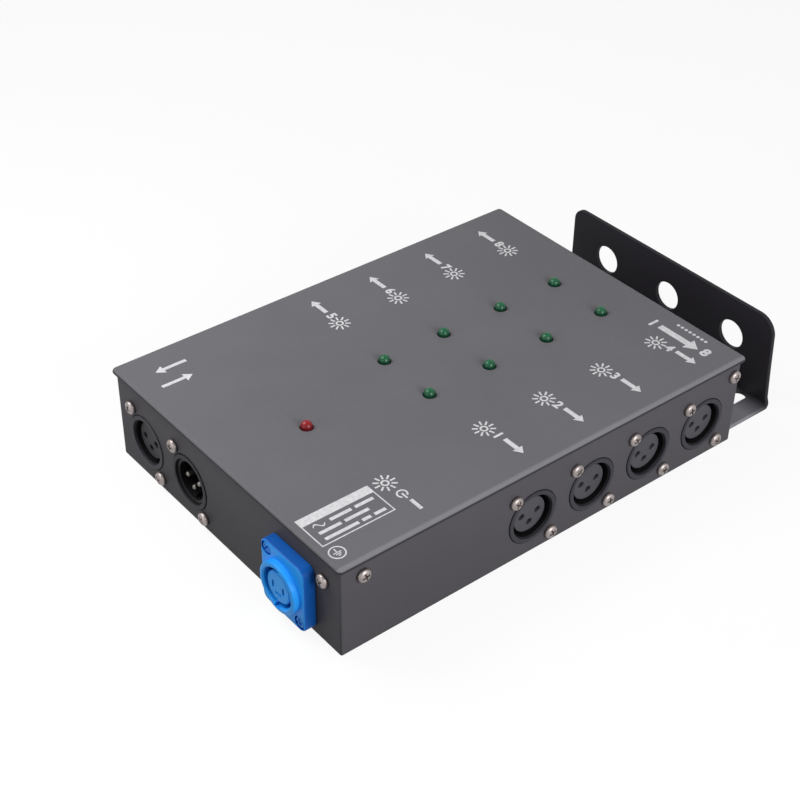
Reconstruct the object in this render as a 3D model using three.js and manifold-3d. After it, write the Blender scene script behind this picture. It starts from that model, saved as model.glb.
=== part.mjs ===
// Eight-way lighting-data splitter: a folded steel case with ten round data sockets, a blue locking
// power inlet, nine indicator lamps, a channel-shaped hanging bracket and the electronics inside.
// Millimetres, +Z up. X runs from the inlet end to the bracket end, and -Y is the near long side.

import * as THREE from 'three';
import { mergeVertices } from 'three/addons/utils/BufferGeometryUtils.js';
import Module from 'manifold-3d';

const wasm = await Module();
wasm.setup();

// Fits that the whole part shares
const seat_gap = 0.25; // between two pieces that are screwed or laid together
const fit_gap = 0.3; // around a piece that passes through a hole
const overrun = 1; // how far a cutting shape passes the face that it cuts
const weld_distance = 1e-4; // corners nearer than this are one corner

// Case: a base tray under a shallow lid
const tray_length = 202; // outer faces of the end walls
const tray_width = 147; // outer faces of the long walls
const case_height = 42.5; // underside of the tray to the top of the lid
const sheet = 1.2; // steel of the tray and the lid
const lid_rim_drop = 2.2; // depth of the folded rim, below the lid's top
const lid_corner_radius = 2;
const tray_corner_radius = 1.5;
const tab_width = 4.8; // lid tabs that take the cover screws
const tab_below_screw = 2.6; // tab left under the screw's centre
const cover_screw_drop = 8; // centre of a long side's cover screw below the lid's top
const end_screw_drop = 12.2; // the same on the two end walls
const front_screw_inset = 9.7; // long side's front cover screw, from the front wall
const end_screw_inset = 9.5; // end wall's cover screw, from the nearer long wall

// Round data sockets of the standard panel size, mounted from behind
const flange_width = 26;
const flange_height = 31;
const flange_thickness = 2.2;
const flange_corner = 3;
const barrel_radius = 11.7;
const barrel_proud = 0.4; // rim in front of the panel
const barrel_depth = 15; // behind the panel's outer face
const groove_outer_radius = 9.7; // where the plug's shell slides in
const groove_inner_radius = 7.9;
const groove_depth = 12;
const insert_recess = 1.7; // female insert behind the rim
const contact_radius = 1.35;
const contact_depth = 8;
const recess_radius = 8.2; // male socket's cavity
const recess_depth = 12;
const pin_radius = 1.2;
const pin_setback = 1.5; // pin tips behind the rim
const contact_half_pitch = 4; // between the two upper contacts
const upper_contact_rise = 0.35;
const lower_contact_drop = 3.65;
const block_width = 20; // connector block behind the barrel
const block_height = 16;
const block_depth = 8;
const tail_side = 0.8; // square solder tails under the block
const tail_length = 2.4;
const tail_pitch = 5;
const fixing_across = 9.5; // fixing screws, from the socket's centre
const fixing_up = 12;
const socket_height = 17.5; // centres above the tray's underside
const socket_spacing = 4.75; // between neighbouring flanges
const data_socket_inset = 19.9; // through socket's centre from the far long wall

// Blue locking power inlet, mounted from outside
const inlet_inset = 27.5; // centre from the near long wall
const inlet_height = 17.4;
const inlet_flange_width = 26;
const inlet_flange_height = 29.4;
const inlet_flange_thickness = 5;
const inlet_corner = 3.2;
const inlet_ring_radius = 10.6;
const inlet_ring_proud = 2.8; // ring in front of the flange
const inlet_cavity_radius = 8.4;
const inlet_core_radius = 6.2;
const inlet_core_recess = 0.8;
const inlet_cavity_depth = 13;
const inlet_body_radius = 10.8; // behind the panel
const inlet_body_depth = 17;
const inlet_slot_length = 3.4; // contact slots in the core
const inlet_slot_width = 1;
const inlet_slot_offset = 3.1;
const inlet_slot_depth = 9;
const inlet_key_width = 3; // two keyways in the ring
const inlet_key_depth = 0.9;
const inlet_tab_width = 4.8; // flat terminals behind
const inlet_tab_thickness = 0.8;
const inlet_tab_length = 6;
const inlet_tab_offset = 5.4;
const inlet_fixing_across = 9.6;
const inlet_fixing_up = 11.2;
const inlet_head_depth = 2.6; // screw heads sunk in the flange

// Pan-head screws of the case and the sockets
const head_radius = 2.8;
const head_height = 2;
const shank_radius = 1.45;
const screw_reach = 5.5; // shank behind the panel's outer face

// Indicator lamps, 5 mm, standing on their wires
const lamp_radius = 2.5;
const lamp_rim_radius = 2.9;
const lamp_rim_height = 1;
const lamp_height = 8.6;
const lamp_proud = 2.9; // dome above the lid
const wire_side = 0.5;
const wire_pitch = 2.54;
const lamp_row_offset = 14.1; // two rows, either side of a line along the case
const lamp_line_offset = -2; // that line, from the case's middle
const lamp_lead = 3.5; // lamps ahead of their sockets, towards the front
const power_lamp_x = 37.1;
const power_lamp_offset = -3.4; // from the case's middle

// Hanging bracket: flange on the end wall, foot, and upright plate with three holes
const bracket_sheet = 2;
const bracket_reach = 30.5; // plate's outer face from the end wall's outer face
const bracket_foot_width = 125;
const bracket_foot_inset = 4.3; // from the near long wall
const bracket_shoulder = 2.6; // plate narrower than the foot, each side
const bracket_shoulder_height = 6;
const bracket_height = 42.9;
const bracket_corner = 10;
const bracket_bend = 3; // outer radius of both bends
const bracket_flange_height = 22;
const hook_hole_radius = 6.5;
const hook_hole_pitch = 37.6;
const hook_hole_height = 25.4;
const slot_width = 6.5; // tie slots in the foot
const slot_inset = 12; // slot's centre line from the foot's end
const slot_start = 10; // from the end wall's outer face
const slot_round_share = 0.96; // corner radius of a slot over its half width
const bracket_screw_inset = 20; // from the foot's ends
const bracket_screw_height = 12;
const bracket_head_radius = 3.6;
const bracket_head_height = 2.4;
const bracket_shank_radius = 1.95;

// Circuit boards on spacers that are riveted to them and stand on the tray's floor
const board_thickness = 1.6;
const board_clearance = 1; // behind the sockets' barrels
const board_end_inset = 13;
const post_radius = 3;
const rivet_radius = 1.3;
const rivet_rise = 1;
const post_inset = 5;
const supply_inset = 18; // power supply board, from the front wall
const supply_past_middle = 6.5; // its far edge, past the case's middle
const board_ahead = 8.65; // main board's edge ahead of the first output's lamp
const board_spacing = 5; // between the two boards
const transformer_length = 20;
const transformer_width = 17;
const transformer_height = 15;
const transformer_rebate = 2.5; // core steps in at both ends
const part_spacing = 1.5; // between the transformer and the capacitor
const capacitor_radius = 8;
const capacitor_height = 20;
const chip_length = 9;
const chip_width = 7;
const chip_height = 3.4;
const chip_sunk = 0.4; // isolators are soldered down into the board's outline
const lead_radius = 1.6; // wiring between inlet, supply and main board
const lead_run = 11.85; // from the inlet's terminals to where the lead lands on the board

// Places worked out from the sizes above
const lid_underside = case_height - sheet;
const tray_top = lid_underside - fit_gap;
const lid_overhang = sheet + fit_gap;
const middle_y = tray_width / 2;
const end_clear = sheet + fit_gap + tab_width + fit_gap;
const socket_pitch = flange_width + socket_spacing;
const sockets_per_side = 4;
const last_socket_x = tray_length - end_clear - flange_width / 2;
const first_socket_x = last_socket_x - (sockets_per_side - 1) * socket_pitch;
const end_tab_x = tray_length - sheet - fit_gap - tab_width / 2;
const tail_tip = socket_height - block_height / 2 - tail_length;
const board_top = tail_tip - seat_gap;
const board_bottom = board_top - board_thickness;
const tail_depth = barrel_depth + block_depth / 2;
const board_inset = barrel_depth + board_clearance;
const inlet_reach = seat_gap + inlet_flange_thickness + inlet_ring_proud;
const plate_inner_x = tray_length + bracket_reach - bracket_sheet;
const bracket_middle_y = bracket_foot_inset + bracket_foot_width / 2;

// Counts of facets round the parts
const round_sides = 20;
const small_sides = 8;
const screw_sides = 8;
const lead_steps = 6; // along a lead

// Turns a closed three.js geometry into a solid that can be cut and joined
function solidOf(geometry) {
  const bare = geometry.clone();
  bare.deleteAttribute('normal');
  bare.deleteAttribute('uv');
  const merged = mergeVertices(bare, weld_distance);
  const vertProperties = new Float32Array(merged.attributes.position.array);
  const triVerts = new Uint32Array(merged.index.array);
  return new wasm.Manifold(new wasm.Mesh({ numProp: 3, vertProperties, triVerts }));
}

// Turns a finished solid back into a three.js geometry
function geometryOf(solid) {
  const mesh = solid.getMesh();
  const geometry = new THREE.BufferGeometry();
  geometry.setAttribute('position', new THREE.BufferAttribute(new Float32Array(mesh.vertProperties), 3));
  geometry.setIndex(new THREE.BufferAttribute(new Uint32Array(mesh.triVerts), 1));
  geometry.computeVertexNormals();
  return geometry;
}

// Rectangular block between two corners
function block(x0, x1, y0, y1, z0, z1) {
  const geometry = new THREE.BoxGeometry(x1 - x0, y1 - y0, z1 - z0);
  geometry.translate((x0 + x1) / 2, (y0 + y1) / 2, (z0 + z1) / 2);
  return solidOf(geometry);
}

// Round rod along Z
function rod(radius, z0, z1, sides, x = 0, y = 0) {
  const geometry = new THREE.CylinderGeometry(radius, radius, z1 - z0, sides);
  geometry.rotateX(Math.PI / 2);
  geometry.translate(x, y, (z0 + z1) / 2);
  return solidOf(geometry);
}

// Solid turned about Z from a profile of [radius, z] points that starts and ends on the axis
function turned(profile, sides) {
  const points = profile.map(([radius, z]) => new THREE.Vector2(radius, z));
  const geometry = new THREE.LatheGeometry(points, sides);
  geometry.rotateX(Math.PI / 2);
  return solidOf(geometry);
}

// Outline of a rectangle with rounded corners, between two corners
function roundedOutline(x0, x1, y0, y1, radius) {
  const outline = new THREE.Shape();
  outline.moveTo(x0 + radius, y0);
  outline.lineTo(x1 - radius, y0);
  outline.absarc(x1 - radius, y0 + radius, radius, -Math.PI / 2, 0, false);
  outline.lineTo(x1, y1 - radius);
  outline.absarc(x1 - radius, y1 - radius, radius, 0, Math.PI / 2, false);
  outline.lineTo(x0 + radius, y1);
  outline.absarc(x0 + radius, y1 - radius, radius, Math.PI / 2, Math.PI, false);
  outline.lineTo(x0, y0 + radius);
  outline.absarc(x0 + radius, y0 + radius, radius, Math.PI, Math.PI * 1.5, false);
  return outline;
}

// Outline pulled up from z0 to z1
function pulled(outline, z0, z1, curveSegments = 3) {
  const options = { depth: z1 - z0, bevelEnabled: false, curveSegments };
  const geometry = new THREE.ExtrudeGeometry(outline, options);
  geometry.translate(0, 0, z0);
  return solidOf(geometry);
}

// Ways to face a panel piece, which is drawn with its front towards +Z and its top towards +Y
function upright(turn) {
  return new THREE.Matrix4().makeRotationZ(turn).multiply(new THREE.Matrix4().makeRotationX(Math.PI / 2));
}
const facing = {
  near: upright(0),
  far: upright(Math.PI),
  front: upright(-Math.PI / 2),
  back: upright(Math.PI / 2),
};

// Outer face of a case wall at the given place along it and height
function onWall(side, along, height) {
  const walls = {
    near: [along, 0, height],
    far: [along, tray_width, height],
    front: [0, along, height],
    back: [tray_length, along, height],
  };
  return new THREE.Vector3(...walls[side]);
}

// The places of the ten data sockets
const socketPlaces = [];
for (let k = 0; k < sockets_per_side; k += 1) {
  const x = first_socket_x + k * socket_pitch;
  socketPlaces.push({ name: `output_socket_${k + 1}`, side: 'near', along: x });
}
for (let k = 0; k < sockets_per_side; k += 1) {
  const x = first_socket_x + k * socket_pitch;
  socketPlaces.push({ name: `output_socket_${k + 1 + sockets_per_side}`, side: 'far', along: x });
}
const through_y = tray_width - data_socket_inset;
socketPlaces.push({ name: 'data_through_socket', side: 'front', along: through_y });
socketPlaces.push({ name: 'data_input_socket', side: 'front', along: through_y - socket_pitch, male: true });

// The places of the six cover screws
const coverScrewPlaces = [
  { name: 'cover_screw_near_front', side: 'near', along: front_screw_inset, drop: cover_screw_drop },
  { name: 'cover_screw_near_back', side: 'near', along: end_tab_x, drop: cover_screw_drop },
  { name: 'cover_screw_far_front', side: 'far', along: front_screw_inset, drop: cover_screw_drop },
  { name: 'cover_screw_far_back', side: 'far', along: end_tab_x, drop: cover_screw_drop },
  { name: 'cover_screw_front', side: 'front', along: end_screw_inset, drop: end_screw_drop },
  { name: 'cover_screw_back', side: 'back', along: tray_width - end_screw_inset, drop: end_screw_drop },
];

// The two screws that hold the bracket's flange
const bracketScrewPlaces = [
  { name: 'bracket_screw_near', y: bracket_foot_inset + bracket_screw_inset },
  { name: 'bracket_screw_far', y: bracket_foot_inset + bracket_foot_width - bracket_screw_inset },
];

// The places of the lamps, each over the board that feeds it
const lampPlaces = [{ name: 'power_lamp', x: power_lamp_x, y: middle_y + power_lamp_offset, colour: 'red' }];
for (const place of socketPlaces.filter((entry) => entry.side !== 'front')) {
  const row = place.side === 'near' ? -lamp_row_offset : lamp_row_offset;
  const name = place.name.replace('socket', 'lamp');
  const y = middle_y + lamp_line_offset + row;
  lampPlaces.push({ name, x: place.along - lamp_lead, y, colour: 'green' });
}

// Board outlines as [x0, x1, y0, y1]
const main_start = first_socket_x - lamp_lead - board_ahead;
const supply = [supply_inset, main_start - board_spacing, board_inset, middle_y + supply_past_middle];
const main_end = tray_length - board_end_inset;
const main_near = board_inset;
const main_far = tray_width - board_inset;
const arm_near = supply[3] + board_spacing;

// The spacers that carry the boards
const mainPosts = [
  [main_start + post_inset, middle_y],
  [main_end - post_inset, middle_y],
  [board_inset + post_inset + block_depth, (arm_near + main_far) / 2],
];
const supplyPosts = [
  [supply[0] + post_inset, supply[2] + post_inset],
  [supply[1] - post_inset, supply[2] + post_inset],
  [supply[1] - post_inset, supply[3] - post_inset],
];

// Materials, with the colours of the finished object
function material(color, roughness, metalness) {
  return new THREE.MeshStandardMaterial({ color, roughness, metalness, flatShading: true });
}
const finishes = {
  case: () => material(0x66656b, 0.5, 0.2),
  bracket: () => material(0x1f1e22, 0.45, 0.2),
  socket: () => material(0x37363b, 0.5, 0),
  inlet: () => material(0x2268c4, 0.4, 0),
  steel: () => material(0xb4ada6, 0.35, 0.9),
  red: () => material(0xb0202a, 0.2, 0),
  green: () => material(0x1d7a52, 0.2, 0),
  board: () => material(0x1f6b3c, 0.6, 0),
  winding: () => material(0xd8b23a, 0.5, 0),
  can: () => material(0x2a2f4a, 0.4, 0.1),
  wire: () => material(0x8a2f2a, 0.6, 0),
};

const splitter = new THREE.Group();

// Adds one named piece, turned and placed by a matrix
function add(name, solid, finish, matrix = new THREE.Matrix4()) {
  const mesh = new THREE.Mesh(geometryOf(solid), finishes[finish]());
  mesh.name = name;
  mesh.applyMatrix4(matrix);
  splitter.add(mesh);
}

// Matrix that puts a panel piece on a wall
function onPanel(side, along, height) {
  const place = onWall(side, along, height);
  return new THREE.Matrix4().makeTranslation(place.x, place.y, place.z).multiply(facing[side]);
}

// A panel-frame cutting rod, moved to its wall
function wallCut(side, along, height, radius, sides) {
  const reach = sheet * 2 + overrun;
  return rod(radius, -reach, reach, sides).transform(onPanel(side, along, height).elements);
}

// Corner signs of a socket's two fixing screws: upper left and lower right, seen from the front
const fixingSigns = [[-1, 1], [1, -1]];

// Moves a fixing screw's place from the socket's frame to its distance along the wall
function alongWall(side, along, across) {
  const sign = { near: 1, far: -1, front: -1, back: 1 }[side];
  return along + sign * across;
}

// Cuts the openings of the sockets and of the cover screws out of a solid, on the given walls
function cutWalls(solid, sides) {
  const screwHole = shank_radius + fit_gap;
  let cut = solid;
  for (const { side, along } of socketPlaces.filter((entry) => sides.includes(entry.side))) {
    cut = cut.subtract(wallCut(side, along, socket_height, barrel_radius + fit_gap, round_sides));
    for (const [across, up] of fixingSigns) {
      const place = alongWall(side, along, across * fixing_across);
      cut = cut.subtract(wallCut(side, place, socket_height + up * fixing_up, screwHole, screw_sides));
    }
  }
  for (const { side, along, drop } of coverScrewPlaces.filter((entry) => sides.includes(entry.side))) {
    cut = cut.subtract(wallCut(side, along, case_height - drop, screwHole, screw_sides));
  }
  return cut;
}

// Base tray: the floor with both end walls folded up from it
function baseTray() {
  const screwHole = shank_radius + fit_gap;
  let tray = pulled(roundedOutline(0, tray_length, 0, tray_width, tray_corner_radius), 0, tray_top);
  const between = tray_length - sheet;
  tray = tray.subtract(block(sheet, between, -overrun, tray_width + overrun, sheet, tray_top + overrun));
  tray = cutWalls(tray, ['front', 'back']);
  const bodyHole = inlet_body_radius + fit_gap;
  tray = tray.subtract(wallCut('front', inlet_inset, inlet_height, bodyHole, round_sides));
  for (const [across, up] of fixingSigns) {
    const place = alongWall('front', inlet_inset, across * inlet_fixing_across);
    const height = inlet_height + up * inlet_fixing_up;
    tray = tray.subtract(wallCut('front', place, height, screwHole, screw_sides));
  }
  for (const { y } of bracketScrewPlaces) {
    const radius = bracket_shank_radius + fit_gap;
    tray = tray.subtract(wallCut('back', y, bracket_screw_height, radius, screw_sides));
  }
  return tray;
}

// Side panel: a long wall, standing on the tray's floor between its end walls
function sidePanel(side) {
  const low = sheet + seat_gap;
  const outer = side === 'near' ? 0 : tray_width - sheet;
  const panel = block(low, tray_length - low, outer, outer + sheet, low, tray_top);
  return cutWalls(panel, [side]);
}

// Top cover: flat lid with a folded rim, lamp holes and inner tabs for the cover screws
function topCover() {
  const x0 = -lid_overhang;
  const x1 = tray_length + lid_overhang;
  const y1 = tray_width + lid_overhang;
  const outer = roundedOutline(x0, x1, x0, y1, lid_corner_radius);
  const inner = roundedOutline(x0 + sheet, x1 - sheet, x0 + sheet, y1 - sheet, lid_corner_radius - sheet);
  let lid = pulled(outer, case_height - lid_rim_drop, case_height);
  lid = lid.subtract(pulled(inner, case_height - lid_rim_drop - overrun, lid_underside));
  for (const { side, along, drop } of coverScrewPlaces) {
    const front = -sheet - fit_gap;
    const low = -tab_below_screw;
    const tab = block(-tab_width / 2, tab_width / 2, low, drop - sheet / 2, front - sheet, front);
    const hole = rod(shank_radius + fit_gap, front - sheet - overrun, front + overrun, screw_sides);
    lid = lid.add(tab.subtract(hole).transform(onPanel(side, along, case_height - drop).elements));
  }
  for (const { x, y } of lampPlaces) {
    const low = lid_underside - overrun;
    lid = lid.subtract(rod(lamp_radius + fit_gap, low, case_height + overrun, small_sides, x, y));
  }
  return lid;
}

// What every data socket has: barrel, rear flange with screw holes, connector block and tails
function socketBody() {
  const flange_front = -sheet - seat_gap;
  const flange_back = flange_front - flange_thickness;
  const half_width = flange_width / 2;
  const half_height = flange_height / 2;
  const plate = roundedOutline(-half_width, half_width, -half_height, half_height, flange_corner);
  let body = rod(barrel_radius, -barrel_depth, barrel_proud, round_sides);
  body = body.add(pulled(plate, flange_back, flange_front, 2));
  const block_back = -barrel_depth - block_depth;
  const block_low = -block_height / 2;
  body = body.add(
    block(-block_width / 2, block_width / 2, block_low, -block_low, block_back, -barrel_depth + overrun),
  );
  for (const step of [-1, 0, 1]) {
    const x = step * tail_pitch;
    const low = block_low - tail_length;
    const z = -tail_depth;
    const half = tail_side / 2;
    body = body.add(block(x - half, x + half, low, block_low + tail_side, z - half, z + half));
  }
  for (const [across, up] of fixingSigns) {
    const x = across * fixing_across;
    const y = up * fixing_up;
    const radius = shank_radius + fit_gap;
    body = body.subtract(rod(radius, flange_back - overrun, flange_front + overrun, screw_sides, x, y));
  }
  return body;
}

// Centres of the three contacts, seen from the front
const contactPlaces = [
  [-contact_half_pitch, upper_contact_rise],
  [contact_half_pitch, upper_contact_rise],
  [0, -lower_contact_drop],
];

// Female socket: a groove for the plug's shell around an insert with three contact holes
function femaleSocket() {
  const front = barrel_proud + overrun;
  const groove = rod(groove_outer_radius, -groove_depth, front, round_sides);
  const insert_front = barrel_proud - insert_recess;
  const insert = rod(groove_inner_radius, -groove_depth - overrun, insert_front, round_sides);
  let socket = socketBody().subtract(groove.subtract(insert));
  for (const [x, y] of contactPlaces) {
    socket = socket.subtract(rod(contact_radius, -contact_depth, front, small_sides, x, y));
  }
  return socket;
}

// Male socket: a round cavity with three pins
function maleSocket() {
  let socket = socketBody().subtract(rod(recess_radius, -recess_depth, barrel_proud + overrun, round_sides));
  for (const [x, y] of contactPlaces) {
    const tip = barrel_proud - pin_setback;
    const shoulder = tip - pin_radius / 2;
    const foot = -recess_depth - overrun;
    const profile = [[0, foot], [pin_radius, foot], [pin_radius, shoulder], [pin_radius / 2, tip], [0, tip]];
    socket = socket.add(turned(profile, small_sides).translate([x, y, 0]));
  }
  return socket;
}

// Power inlet: outer flange, raised ring with keyways, and a slotted core inside the cavity
function powerInlet() {
  const flange_front = seat_gap + inlet_flange_thickness;
  const ring_front = flange_front + inlet_ring_proud;
  const half_width = inlet_flange_width / 2;
  const half_height = inlet_flange_height / 2;
  const plate = roundedOutline(-half_width, half_width, -half_height, half_height, inlet_corner);
  let inlet = pulled(plate, seat_gap, flange_front);
  inlet = inlet.add(rod(inlet_ring_radius, seat_gap, ring_front, round_sides));
  inlet = inlet.add(rod(inlet_body_radius, -inlet_body_depth, flange_front, round_sides));
  const floor = ring_front - inlet_cavity_depth;
  const cavity = rod(inlet_cavity_radius, floor, ring_front + overrun, round_sides);
  inlet = inlet.subtract(cavity);
  const key_reach = inlet_cavity_radius + inlet_key_depth;
  const half_key = inlet_key_width / 2;
  inlet = inlet.subtract(block(-half_key, half_key, -key_reach, key_reach, floor, ring_front + overrun));
  const core_front = ring_front - inlet_core_recess;
  inlet = inlet.add(rod(inlet_core_radius, floor - overrun, core_front, round_sides));
  const half_long = inlet_slot_length / 2;
  const half_wide = inlet_slot_width / 2;
  const slot_floor = core_front - inlet_slot_depth;
  const slots = [[-inlet_slot_offset, 0, half_wide, half_long], [inlet_slot_offset, 0, half_wide, half_long],
    [0, -inlet_slot_offset, half_long, half_wide]];
  for (const [x, y, across, up] of slots) {
    inlet = inlet.subtract(block(x - across, x + across, y - up, y + up, slot_floor, core_front + overrun));
  }
  for (const x of [-inlet_tab_offset, 0, inlet_tab_offset]) {
    const y = x === 0 ? -inlet_tab_offset : inlet_tab_offset / 2;
    const thin = inlet_tab_thickness / 2;
    const back = -inlet_body_depth - inlet_tab_length;
    const wide = inlet_tab_width / 2;
    inlet = inlet.add(block(x - thin, x + thin, y - wide, y + wide, back, -inlet_body_depth + overrun));
  }
  for (const [across, up] of fixingSigns) {
    const x = across * inlet_fixing_across;
    const y = up * inlet_fixing_up;
    const shelf = flange_front - inlet_head_depth;
    inlet = inlet.subtract(rod(shank_radius + fit_gap, -overrun, shelf + overrun, screw_sides, x, y));
    inlet = inlet.subtract(rod(head_radius + fit_gap, shelf, flange_front + overrun, screw_sides, x, y));
  }
  return inlet;
}

// Pan-head screw; its head sits at z = seat and its shank points to -Z
function panScrew(radius, height, shank, reach, seat) {
  const top = seat + height;
  const crown_share = 0.6;
  return turned([[0, -reach], [shank, -reach], [shank, seat], [radius, seat], [radius, seat + height / 2],
    [radius * crown_share, top], [0, top]], screw_sides);
}

// Lamp with a domed lens, a rim at its base and two wires down to its board
function lamp() {
  const tip = case_height + lamp_proud;
  const base = tip - lamp_height;
  const dome_start = tip - lamp_radius;
  const profile = [[0, base], [lamp_rim_radius, base], [lamp_rim_radius, base + lamp_rim_height],
    [lamp_radius, base + lamp_rim_height]];
  for (let step = 0; step < 3; step += 1) {
    const angle = (step * Math.PI) / 6;
    profile.push([lamp_radius * Math.cos(angle), dome_start + lamp_radius * Math.sin(angle)]);
  }
  profile.push([0, tip]);
  let lens = turned(profile, small_sides);
  for (const side of [-1, 1]) {
    const x = (side * wire_pitch) / 2;
    const half = wire_side / 2;
    const foot = board_top + seat_gap;
    lens = lens.add(block(x - half, x + half, -half, half, foot, base + lamp_rim_height / 2));
  }
  return lens;
}

// Hanging bracket, bent from one strip: flange, foot and plate
function hangingBracket() {
  const x0 = tray_length + seat_gap;
  const x1 = tray_length + bracket_reach;
  const y0 = bracket_foot_inset;
  const y1 = bracket_foot_inset + bracket_foot_width;
  const strip = new THREE.Shape();
  strip.moveTo(x0, bracket_flange_height);
  strip.lineTo(x0, bracket_bend);
  strip.absarc(x0 + bracket_bend, bracket_bend, bracket_bend, Math.PI, Math.PI * 1.5, false);
  strip.lineTo(x1 - bracket_bend, 0);
  strip.absarc(x1 - bracket_bend, bracket_bend, bracket_bend, -Math.PI / 2, 0, false);
  strip.lineTo(x1, bracket_height);
  strip.lineTo(x1 - bracket_sheet, bracket_height);
  strip.lineTo(x1 - bracket_sheet, bracket_bend);
  const inner = bracket_bend - bracket_sheet;
  strip.absarc(x1 - bracket_bend, bracket_bend, inner, 0, -Math.PI / 2, true);
  strip.lineTo(x0 + bracket_bend, bracket_sheet);
  strip.absarc(x0 + bracket_bend, bracket_bend, inner, Math.PI * 1.5, Math.PI, true);
  strip.lineTo(x0 + bracket_sheet, bracket_flange_height);
  const standing = new THREE.Matrix4().makeRotationX(Math.PI / 2);
  let bracket = pulled(strip, -y1, -y0).transform(standing.elements);
  const shoulder_z = bracket_shoulder_height;
  const plateCut = plate_inner_x - overrun;
  const trim = roundedOutline(y0 + bracket_shoulder, y1 - bracket_shoulder, shoulder_z - bracket_corner,
    bracket_height, bracket_corner);
  const keep = pulled(trim, plateCut, x1 + overrun, 5);
  const lying = new THREE.Matrix4().set(0, 0, 1, 0, 1, 0, 0, 0, 0, 1, 0, 0, 0, 0, 0, 1);
  const high = bracket_height + overrun;
  const whole = block(plateCut, x1 + overrun, y0 - overrun, y1 + overrun, shoulder_z, high);
  bracket = bracket.subtract(whole.subtract(keep.transform(lying.elements)));
  for (const step of [-1, 0, 1]) {
    const y = bracket_middle_y + step * hook_hole_pitch;
    const hole = rod(hook_hole_radius, plateCut, x1 + overrun, round_sides, y, hook_hole_height);
    bracket = bracket.subtract(hole.transform(lying.elements));
  }
  const slot_end = plate_inner_x - bracket_sheet / 4;
  for (const y of [y0 + slot_inset, y1 - slot_inset]) {
    const half = slot_width / 2;
    const corner = half * slot_round_share;
    const slot = roundedOutline(tray_length + slot_start, slot_end, y - half, y + half, corner);
    bracket = bracket.subtract(pulled(slot, -overrun, bracket_sheet + overrun, 4));
  }
  for (const { y } of bracketScrewPlaces) {
    const radius = bracket_shank_radius + fit_gap;
    const through = x0 + bracket_sheet + overrun;
    const hole = rod(radius, x0 - overrun, through, screw_sides, y, bracket_screw_height);
    bracket = bracket.subtract(hole.transform(lying.elements));
  }
  return bracket;
}

// A circuit board with its spacers, whose rivets stand out above it
function board(outline, posts) {
  let plate = pulled(outline, board_bottom, board_top);
  const half_up = board_bottom + board_thickness / 2;
  for (const [x, y] of posts) {
    plate = plate.add(rod(post_radius, sheet + seat_gap, half_up, small_sides, x, y));
    plate = plate.add(rod(rivet_radius, half_up, board_top + rivet_rise, small_sides, x, y));
  }
  return plate;
}

// Main board: under both rows of outputs, with an arm under the front sockets and eight isolators
function mainBoard() {
  const outline = new THREE.Shape();
  outline.moveTo(main_start, main_near);
  outline.lineTo(main_end, main_near);
  outline.lineTo(main_end, main_far);
  outline.lineTo(board_inset, main_far);
  outline.lineTo(board_inset, arm_near);
  outline.lineTo(main_start, arm_near);
  let plate = board(outline, mainPosts);
  for (const { x, y } of lampPlaces.filter((entry) => entry.colour === 'green')) {
    const outward = Math.sign(y - middle_y);
    const centre = y + outward * (chip_width + lamp_rim_radius);
    const half_long = chip_length / 2;
    const half_wide = chip_width / 2;
    plate = plate.add(block(x - half_long, x + half_long, centre - half_wide, centre + half_wide,
      board_top - chip_sunk, board_top + chip_height));
  }
  return plate;
}

// Power supply board
function supplyBoard() {
  const outline = new THREE.Shape();
  outline.moveTo(supply[0], supply[2]);
  outline.lineTo(supply[1], supply[2]);
  outline.lineTo(supply[1], supply[3]);
  outline.lineTo(supply[0], supply[3]);
  return board(outline, supplyPosts);
}

// Transformer: wound core with a rebate at both ends
function transformer() {
  const x = supply[1] - transformer_length / 2 - lead_radius;
  const y = (supply[2] + supply[3]) / 2;
  const low = board_top + seat_gap;
  const half_long = transformer_length / 2;
  const half_wide = transformer_width / 2;
  const core = block(x - half_long, x + half_long, y - half_wide + transformer_rebate,
    y + half_wide - transformer_rebate, low, low + transformer_height);
  const winding_half = half_long - transformer_rebate;
  const winding = block(x - winding_half, x + winding_half, y - half_wide, y + half_wide, low,
    low + transformer_height - transformer_rebate);
  return core.add(winding);
}

// Smoothing capacitor, standing on the supply board
function capacitor() {
  const x = supply[1] - transformer_length;
  const y = (supply[2] + supply[3] + transformer_width) / 2 + part_spacing + capacitor_radius;
  const low = board_top + seat_gap;
  return rod(capacitor_radius, low, low + capacitor_height, round_sides, x, y);
}

// Wire along a smooth line of points
function wire(points, steps) {
  const path = new THREE.CatmullRomCurve3(points.map((point) => new THREE.Vector3(...point)));
  const section = new THREE.Shape();
  section.absarc(0, 0, lead_radius, 0, Math.PI * 2, false);
  const options = { steps, curveSegments: 4, bevelEnabled: false, extrudePath: path };
  return solidOf(new THREE.ExtrudeGeometry(section, options));
}

// Mains lead: from the inlet's middle terminal down to the supply board
function mainsLead() {
  const start = inlet_body_depth + inlet_tab_length + seat_gap;
  const y = inlet_inset;
  const z = inlet_height - inlet_tab_offset;
  const foot = board_top + seat_gap;
  const end = inlet_body_depth + inlet_tab_length + lead_run;
  const gap = (end - start) / 4;
  return wire([[start, y, z], [start + gap, y, z], [end - gap, y, z - gap], [end, y, (z + foot) / 2],
    [end, y, foot]], lead_steps);
}

add('base_tray', baseTray(), 'case');
add('side_panel_near', sidePanel('near'), 'case');
add('side_panel_far', sidePanel('far'), 'case');
add('top_cover', topCover(), 'case');
add('hanging_bracket', hangingBracket(), 'bracket');

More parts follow.
